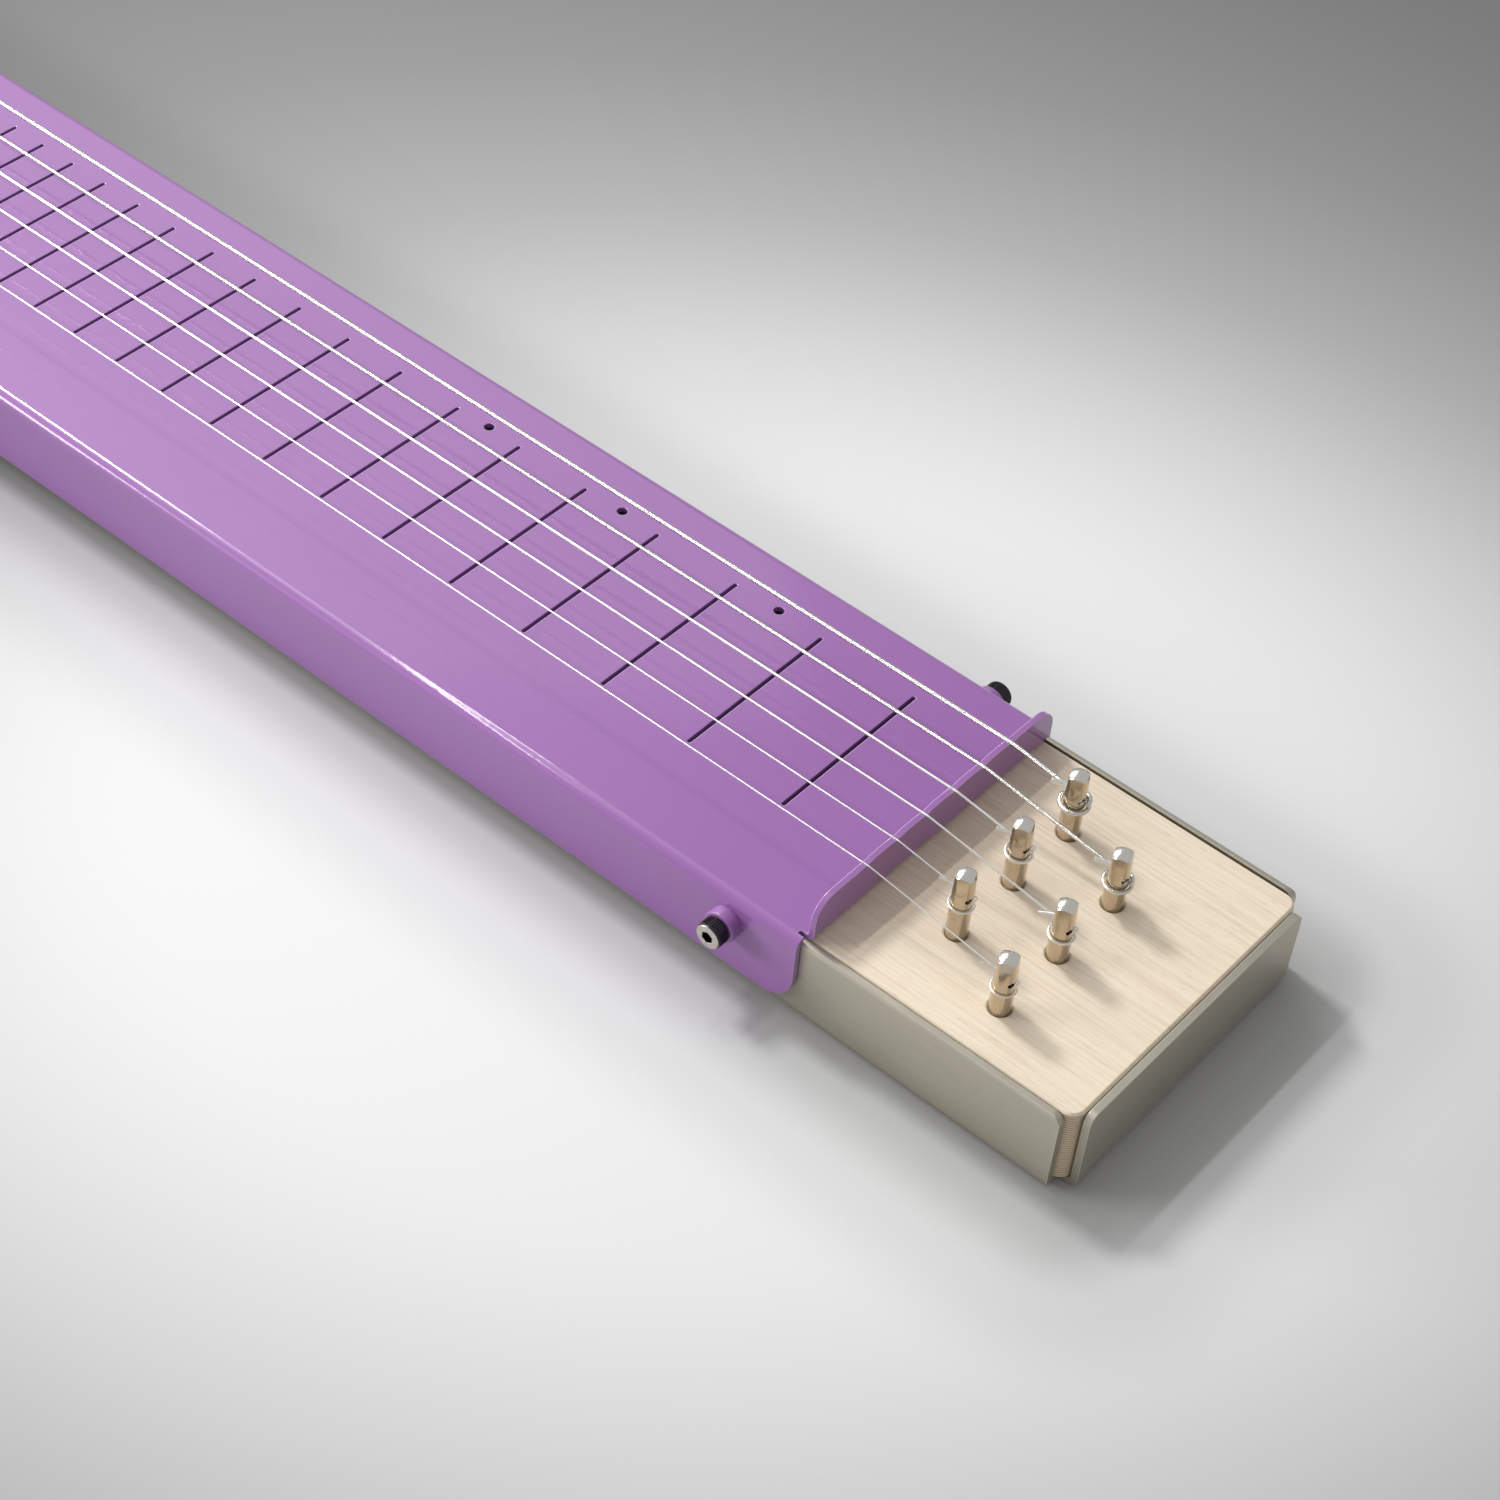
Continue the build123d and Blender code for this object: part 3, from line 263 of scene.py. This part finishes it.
# Wood core: a quarter-sawn maple plank, sanded and matt lacquered, with its grain along the strings. Under the
# deck, where it lies in shade, its colour is painted black as painted shade, so the fret slots read as dark lines,
# and the end grain shows at the corners.
maple, tree, surface = new_material("maple")
bridge_x = shell_low.x
shade_inset = 0.004
place = add(tree, "ShaderNodeSeparateXYZ", Vector=mapped(tree)).outputs
grain = add(tree, "ShaderNodeTexNoise", Vector=mapped(tree, scale=(28, 1150, 1150)), Scale=1, Detail=4,
            Roughness=0.6).outputs["Fac"]
figure = add(tree, "ShaderNodeTexNoise", Vector=mapped(tree, scale=(9, 26, 26)), Scale=1, Detail=3,
             Distortion=0.6).outputs["Fac"]
flecks = add(tree, "ShaderNodeTexNoise", Vector=mapped(tree, scale=(190, 1300, 1300)), Scale=1,
             Detail=2).outputs["Fac"]
grain_colour = ramp(tree, grain, (0.30, (0.76, 0.63, 0.475)), (0.48, (0.84, 0.72, 0.565)),
                    (0.70, (0.88, 0.775, 0.63)))
figured = add(tree, "ShaderNodeMix", {"data_type": "RGBA", "blend_type": "MULTIPLY"}, n0=0.55,
              n6=grain_colour, n7=ramp(tree, figure, (0.35, 0.90), (0.65, 1.0))).outputs[2]
flecked = add(tree, "ShaderNodeMix", {"data_type": "RGBA", "blend_type": "MULTIPLY"}, n0=0.35,
              n6=figured, n7=ramp(tree, flecks, (0.30, 0.72), (0.42, 1.0))).outputs[2]
end_rings = add(tree, "ShaderNodeTexWave", {"bands_direction": "Z"}, Vector=mapped(tree), Scale=380,
                Distortion=1.6, Detail=2).outputs["Fac"]
end_colour = ramp(tree, end_rings, (0.1, (0.42, 0.31, 0.20)), (0.6, (0.72, 0.59, 0.43)))
facing = add(tree, "ShaderNodeSeparateXYZ",
             Vector=tree.nodes.new("ShaderNodeNewGeometry").outputs["Normal"]).outputs
on_side = add(tree, "ShaderNodeMath", {"operation": "LESS_THAN"},
              n0=add(tree, "ShaderNodeMath", {"operation": "ABSOLUTE"}, n0=facing["Z"]).outputs[0],
              n1=0.5).outputs[0]
sided = add(tree, "ShaderNodeMix", {"data_type": "RGBA"}, n0=on_side, n6=flecked, n7=end_colour).outputs[2]
# Painted shade: the wood is painted black wherever it lies under the deck, between bridge and nut.
past_bridge = add(tree, "ShaderNodeMath", {"operation": "GREATER_THAN"}, n0=place["X"],
                  n1=bridge_x + shade_inset).outputs[0]
before_nut = add(tree, "ShaderNodeMath", {"operation": "LESS_THAN"}, n0=place["X"],
                 n1=nut_x - shade_inset).outputs[0]
painted_under_deck_shade = add(tree, "ShaderNodeMath", {"operation": "MULTIPLY"}, n0=past_bridge, n1=before_nut).outputs[0]
tree.links.new(add(tree, "ShaderNodeMix", {"data_type": "RGBA"}, n0=painted_under_deck_shade, n6=sided,
                   n7=(0.006, 0.005, 0.007, 1)).outputs[2], surface.inputs["Base Color"])
tree.links.new(add(tree, "ShaderNodeMapRange", Value=grain, n1=0.3, n2=0.7, n3=0.48, n4=0.38).outputs[0],
               surface.inputs["Roughness"])
surface.inputs["Specular IOR Level"].default_value = 0.35
wood_edge = add(tree, "ShaderNodeBevel", {"samples": 6}, Radius=0.0006).outputs["Normal"]
pores = add(tree, "ShaderNodeBump", Strength=0.10, Distance=0.0003, Height=grain,
            Normal=wood_edge).outputs["Normal"]
tree.links.new(add(tree, "ShaderNodeBump", Strength=0.12, Distance=0.0002, Height=flecks,
                   Normal=pores).outputs["Normal"], surface.inputs["Normal"])
finish(maple, "wood_core")


# Tuning pins: turned steel, polished and nickel plated, with fine lathe marks. Their warm tone is partly the
# plating and partly a painted reflection of the maple, and their domed tops are painted paler as a painted
# highlight.
def metal(name, colour, rough, mark_scale, mark_strength, mark_depth=0.0001):
    """A plated or bare metal with fine tool marks round its height."""
    material, tree, surface = new_material(name)
    marks = add(tree, "ShaderNodeTexNoise", Vector=mapped(tree, scale=mark_scale), Scale=1, Detail=4,
                Roughness=0.6).outputs["Fac"]
    darker = tuple(0.90 * part for part in colour)
    tree.links.new(ramp(tree, marks, (0.3, darker), (0.6, colour)), surface.inputs["Base Color"])
    surface.inputs["Metallic"].default_value = 1.0
    tree.links.new(add(tree, "ShaderNodeMapRange", Value=marks, n1=0.3, n2=0.7, n3=1.25 * rough,
                       n4=0.8 * rough).outputs[0], surface.inputs["Roughness"])
    edge = add(tree, "ShaderNodeBevel", {"samples": 4}, Radius=0.0002).outputs["Normal"]
    tree.links.new(add(tree, "ShaderNodeBump", Strength=mark_strength, Distance=mark_depth, Height=marks,
                       Normal=edge).outputs["Normal"], surface.inputs["Normal"])
    return material


nickel = metal("polished_nickel", (0.80, 0.735, 0.63), 0.12, (260, 260, 2400), 0.08)
pin_nickel = metal("pin_nickel", (0.57, 0.485, 0.37), 0.14, (1800, 1800, 260), 0.10)
tree = pin_nickel.node_tree
surface = tree.nodes["Principled BSDF"]
shank = surface.inputs["Base Color"].links[0].from_socket
upward = add(tree, "ShaderNodeSeparateXYZ",
             Vector=tree.nodes.new("ShaderNodeNewGeometry").outputs["Normal"]).outputs["Z"]
# Painted highlight: faces that point up, the domed tops, are painted a paler nickel.
tree.links.new(add(tree, "ShaderNodeMix", {"data_type": "RGBA"}, n0=ramp(tree, upward, (0.35, 0.0), (0.6, 1.0)),
                   n6=shank, n7=(0.90, 0.88, 0.83, 1)).outputs[2], surface.inputs["Base Color"])
finish(pin_nickel, *numbered("tuning_pin"))

# Strings 1 to 4: plain drawn steel, bright. Their short ends go through the pins and turn with them.
plain_steel = metal("drawn_string_steel", (0.98, 0.975, 0.96), 0.34, (60, 3000, 3000), 0.05)
finish(plain_steel, *[f"string_{number}" for number in range(1, 5)], *numbered("string_tail"))

# Strings 5 and 6: a steel core wound with nickel-plated wire from the ball end to the pin. Each is one tube
# with a ridge for every turn of its wire, along the string's own line over bridge and nut and round the pin.
nut_height = 0.0126
bridge_height = 0.0136
anchor_height = 0.006
winding_height = 0.0096
winding_gap = 0.0002
winding_rise = 0.00085
winding_quarters = 5
crest_half = 0.0008
wrap_pitch = {5: 0.00034, 6: 0.00040}
ridge_depth = 0.16
rings_per_turn = 4
tube_sides = 8
string_diameter = {5: 0.00107, 6: 0.00132}
pin_sink = {5: 0.0029, 6: 0.0}

wound_nickel = metal("wound_string_nickel", (0.82, 0.80, 0.76), 0.26, (900, 2400, 2400), 0.10)
wrapping = bpy.data.node_groups.new("wrapped_string", "GeometryNodeTree")
wrapping.interface.new_socket("Geometry", in_out="INPUT", socket_type="NodeSocketGeometry")
for label in ("Radius", "Pitch", "Ridge", "Step"):
    wrapping.interface.new_socket(label, in_out="INPUT", socket_type="NodeSocketFloat")
wrapping.interface.new_socket("Geometry", in_out="OUTPUT", socket_type="NodeSocketGeometry")
given = wrapping.nodes.new("NodeGroupInput").outputs
even = wrapping.nodes.new("GeometryNodeResampleCurve")
even.mode = "LENGTH"
wrapping.links.new(given["Geometry"], even.inputs["Curve"])
wrapping.links.new(given["Step"], even.inputs["Length"])
along = wrapping.nodes.new("GeometryNodeSplineParameter").outputs["Length"]
turns = add(wrapping, "ShaderNodeMath", {"operation": "DIVIDE"}, n0=along, n1=given["Pitch"]).outputs[0]
wave = add(wrapping, "ShaderNodeMath", {"operation": "SINE"},
           n0=add(wrapping, "ShaderNodeMath", {"operation": "MULTIPLY"}, n0=turns, n1=2 * math.pi).outputs[0]
           ).outputs[0]
sunk = add(wrapping, "ShaderNodeMath", {"operation": "MULTIPLY_ADD"}, n0=wave, n1=0.5, n2=-0.5).outputs[0]
share = add(wrapping, "ShaderNodeMath", {"operation": "MULTIPLY_ADD"}, n0=sunk, n1=given["Ridge"],
            n2=1.0).outputs[0]
thickness = add(wrapping, "ShaderNodeMath", {"operation": "MULTIPLY"}, n0=share, n1=given["Radius"]).outputs[0]
ring = add(wrapping, "GeometryNodeCurvePrimitiveCircle", Resolution=tube_sides, Radius=1.0)
tube = add(wrapping, "GeometryNodeCurveToMesh", Curve=even.outputs["Curve"], Profile_Curve=ring.outputs["Curve"],
           Scale=thickness, Fill_Caps=True)
soft = add(wrapping, "GeometryNodeSetShadeSmooth", Geometry=tube.outputs["Mesh"], Shade_Smooth=True)
whole = add(wrapping, "GeometryNodeRealizeInstances", Geometry=soft.outputs["Geometry"])
coloured = add(wrapping, "GeometryNodeSetMaterial", Geometry=whole.outputs["Geometry"], Material=wound_nickel)
wrapping.links.new(coloured.outputs["Geometry"], wrapping.nodes.new("NodeGroupOutput").inputs[0])


def grown(host, group, values, name, body):
    """The mesh that a geometry tree makes on an object, as a plain piece that rides on a body."""
    modifier = host.modifiers.new("grow", "NODES")
    modifier.node_group = group
    for item in group.interface.items_tree:
        if item.in_out == "INPUT" and item.name in values:
            modifier[item.identifier] = values[item.name]
    bpy.context.view_layer.update()
    seen = host.evaluated_get(bpy.context.evaluated_depsgraph_get())
    mesh = bpy.data.meshes.new_from_object(seen)
    piece = bpy.data.objects.new(name, mesh)
    bpy.context.scene.collection.objects.link(piece)
    bpy.data.objects.remove(host)
    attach(piece, body)
    return piece


def wound_line(number):
    """The line of a wound string, from its ball end to the end of its winding on the pin."""
    low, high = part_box(f"string_{number}")
    pin_low, pin_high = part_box(f"tuning_pin_{number}")
    radius = string_diameter[number] / 2
    y = high.y - radius
    pin_x = (pin_low.x + pin_high.x) / 2
    pin_y = (pin_low.y + pin_high.y) / 2
    coil = y - pin_y
    corners = [(low.x + radius, wood_top + anchor_height),
               (bridge_x - crest_half, wood_top + bridge_height), (bridge_x + crest_half, wood_top + bridge_height),
               (nut_x - crest_half, wood_top + nut_height), (nut_x + crest_half, wood_top + nut_height)]
    line = [Vector((x, y, z)) for x, z in corners]
    start_z = wood_top + winding_height - pin_sink[number]
    pitch = string_diameter[number] + winding_rise
    steps = 8 * winding_quarters
    for step in range(steps + 1):
        turn = math.radians(90 - 90 * winding_quarters * step / steps)
        rise = pitch * winding_quarters / 4 * step / steps
        line.append(Vector((pin_x + coil * math.cos(turn), pin_y + coil * math.sin(turn), start_z + rise)))
    return line


for number in (5, 6):
    line = wound_line(number)
    curve = bpy.data.curves.new("wound_line", "CURVE")
    curve.dimensions = "3D"
    spline = curve.splines.new("POLY")
    spline.points.add(len(line) - 1)
    for point, place in zip(spline.points, line):
        point.co = (*place, 1)
    host = bpy.data.objects.new("wound_line", curve)
    bpy.context.scene.collection.objects.link(host)
    pitch = wrap_pitch[number]
    wound = grown(host, wrapping, {"Radius": string_diameter[number] / 2, "Pitch": pitch, "Ridge": ridge_depth,
                                   "Step": pitch / rings_per_turn}, f"wound_string_{number}", "root")
    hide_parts(f"string_{number}")

# Side screws: four socket-head cap screws of blackened steel with a bright turned face, each on a powder
# coated boss. The knurl round each head is a ring of small ridges.
screw_head_radius = 0.0035
screw_head_height = 0.004
knurl_count = 34
knurl_radius = 0.00022
knurl_length = 0.0030
socket_across = 0.0030

blackened, tree, surface = new_material("blackened_screw_steel")
facing = add(tree, "ShaderNodeSeparateXYZ",
             Vector=tree.nodes.new("ShaderNodeNewGeometry").outputs["Normal"]).outputs
outward = add(tree, "ShaderNodeMath", {"operation": "ABSOLUTE"}, n0=facing["Y"]).outputs[0]
turned_marks = add(tree, "ShaderNodeTexNoise", Vector=mapped(tree, scale=(900, 300, 900)), Scale=1,
                   Detail=3).outputs["Fac"]
bright = ramp(tree, turned_marks, (0.3, (0.50, 0.48, 0.42)), (0.7, (0.66, 0.63, 0.56)))
is_face = ramp(tree, outward, (0.45, 0.0), (0.75, 1.0))
tree.links.new(add(tree, "ShaderNodeMix", {"data_type": "RGBA"}, n0=is_face, n6=(0.055, 0.050, 0.060, 1),
                   n7=bright).outputs[2], surface.inputs["Base Color"])
surface.inputs["Metallic"].default_value = 1.0
surface.inputs["Roughness"].default_value = 0.28
tree.links.new(add(tree, "ShaderNodeBump", Strength=0.08, Distance=0.0001, Height=turned_marks,
                   Normal=add(tree, "ShaderNodeBevel", {"samples": 4}, Radius=0.0003).outputs["Normal"]
                   ).outputs["Normal"], surface.inputs["Normal"])
finish(blackened, "side_screws")

knurling = bpy.data.node_groups.new("knurl", "GeometryNodeTree")
knurling.interface.new_socket("Geometry", in_out="INPUT", socket_type="NodeSocketGeometry")
for label in ("Head radius", "Ridge radius", "Ridge length"):
    knurling.interface.new_socket(label, in_out="INPUT", socket_type="NodeSocketFloat")
knurling.interface.new_socket("Ridges", in_out="INPUT", socket_type="NodeSocketInt")
knurling.interface.new_socket("Geometry", in_out="OUTPUT", socket_type="NodeSocketGeometry")
given = knurling.nodes.new("NodeGroupInput").outputs
rim = add(knurling, "GeometryNodeCurvePrimitiveCircle", Resolution=given["Ridges"], Radius=given["Head radius"])
rim_points = add(knurling, "GeometryNodeCurveToPoints", {"mode": "EVALUATED"}, Curve=rim.outputs["Curve"])
ridge = add(knurling, "GeometryNodeMeshCylinder", Vertices=4, Radius=given["Ridge radius"],
            Depth=given["Ridge length"])
ridges = add(knurling, "GeometryNodeInstanceOnPoints", Points=rim_points.outputs["Points"],
             Instance=ridge.outputs["Mesh"])
heads = add(knurling, "GeometryNodeInstanceOnPoints", Points=given["Geometry"],
            Instance=ridges.outputs["Instances"], Rotation=(math.pi / 2, 0, 0))
whole = add(knurling, "GeometryNodeRealizeInstances", Geometry=heads.outputs["Instances"])
coloured = add(knurling, "GeometryNodeSetMaterial", Geometry=whole.outputs["Geometry"], Material=blackened)
knurling.links.new(coloured.outputs["Geometry"], knurling.nodes.new("NodeGroupOutput").inputs[0])

boss_low, boss_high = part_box("screw_bosses")
boss_radius = (boss_high.z - boss_low.z) / 2
screw_z = (boss_high.z + boss_low.z) / 2
knurl_y = boss_high.y + 0.0004 + knurl_length / 2
mesh = bpy.data.meshes.new("screw_places")
mesh.from_pydata([(x, side * knurl_y, screw_z) for x in (boss_low.x + boss_radius, boss_high.x - boss_radius)
                  for side in (-1, 1)], [], [])
host = bpy.data.objects.new("screw_places", mesh)
bpy.context.scene.collection.objects.link(host)
knurl = grown(host, knurling, {"Head radius": screw_head_radius, "Ridge radius": knurl_radius,
                               "Ridge length": knurl_length, "Ridges": knurl_count}, "screw_knurls", "root")

# Tail end: a nickel-plated bracket with zinc-plated screws, turned brass ball ends, and the countersunk screws
# under the tray.
zinc = metal("zinc_plate", (0.62, 0.61, 0.57), 0.30, (700, 700, 700), 0.12)
turned_brass = metal("turned_brass", (0.78, 0.56, 0.25), 0.22, (1500, 300, 1500), 0.10)
finish(nickel, "tail_bracket")
finish(zinc, "tail_bracket_screws", "tray_screws", "pickup_baseplate")
finish(turned_brass, "ball_ends", "volume_shaft", "tone_shaft")

# Pickup: a nickel-silver cover over a black bobbin wound with enamelled copper wire, with steel pole pieces, a
# ferrite bar below them, and two springy silicone sleeves round its height screws.
cover_plate = metal("pickup_cover_plate", (0.74, 0.70, 0.63), 0.24, (40, 900, 900), 0.06)
finish(cover_plate, "pickup_cover")
finish(zinc, "pickup_pole_pieces", "pickup_screws")


def moulded(name, colour, rough, texture_scale, texture_strength, metallic=0.0):
    """A moulded, cast or pressed finish with a fine even texture."""
    material, tree, surface = new_material(name)
    texture = add(tree, "ShaderNodeTexNoise", Vector=mapped(tree), Scale=texture_scale, Detail=3).outputs["Fac"]
    darker = tuple(0.82 * part for part in colour)
    tree.links.new(ramp(tree, texture, (0.35, darker), (0.65, colour)), surface.inputs["Base Color"])
    surface.inputs["Metallic"].default_value = metallic
    tree.links.new(add(tree, "ShaderNodeMapRange", Value=texture, n1=0.3, n2=0.7, n3=1.15 * rough,
                       n4=0.85 * rough).outputs[0], surface.inputs["Roughness"])
    tree.links.new(add(tree, "ShaderNodeBump", Strength=texture_strength, Distance=0.0002, Height=texture
                       ).outputs["Normal"], surface.inputs["Normal"])
    return material


finish(moulded("bobbin_moulding", (0.020, 0.020, 0.022), 0.5, 1800, 0.2), "pickup_bobbin")
finish(moulded("ferrite", (0.070, 0.070, 0.078), 0.75, 2500, 0.4), "pickup_magnet")
finish(moulded("silicone_tube", (0.70, 0.69, 0.66), 0.45, 900, 0.1), "pickup_sleeves")
finish(metal("enamelled_copper", (0.62, 0.24, 0.10), 0.3, (60, 60, 9000), 0.5), "pickup_coil")

# Controls: pressed steel cases under the deck, and on it a washer, a nut and a turned aluminium knob with
# twenty flutes and an inlaid white line that shows where it stands.
finish(moulded("pressed_case", (0.52, 0.49, 0.42), 0.38, 900, 0.15, 1.0), "volume_pot", "tone_pot")
finish(nickel, "volume_nut", "volume_washer", "tone_nut", "tone_washer")
knob_metal = metal("turned_knob", (0.62, 0.585, 0.50), 0.28, (160, 160, 2600), 0.14)
finish(knob_metal, "volume_knob", "tone_knob")
line_width = 0.0009
line_height = 0.0002
line_inset = 0.0018
line_paint = moulded("line_paint", (0.82, 0.81, 0.78), 0.5, 1200, 0.1)
for control in ("volume", "tone"):
    low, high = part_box(f"{control}_knob")
    middle = (low + high) / 2
    radius = (high.x - low.x) / 2
    shape = bmesh.new()
    bmesh.ops.create_cube(shape, size=1.0)
    length = radius - 2 * line_inset
    bmesh.ops.scale(shape, vec=(length, line_width, line_height), verts=shape.verts)
    bmesh.ops.bevel(shape, geom=shape.edges[:], offset=0.25 * line_height, segments=2, affect="EDGES")
    bmesh.ops.translate(shape, vec=(middle.x + line_inset + length / 2, middle.y, high.z), verts=shape.verts)
    mesh = bpy.data.meshes.new(f"{control}_line")
    shape.to_mesh(mesh)
    shape.free()
    mesh.materials.append(line_paint)
    line = bpy.data.objects.new(f"{control}_line", mesh)
    bpy.context.scene.collection.objects.link(line)
    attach(line, f"{control}_control")

# Output jack: a nickel-plated bushing with its washer and nut in the tail wall.
finish(nickel, "output_jack", "jack_washer", "jack_nut")

bpy.context.view_layer.update()
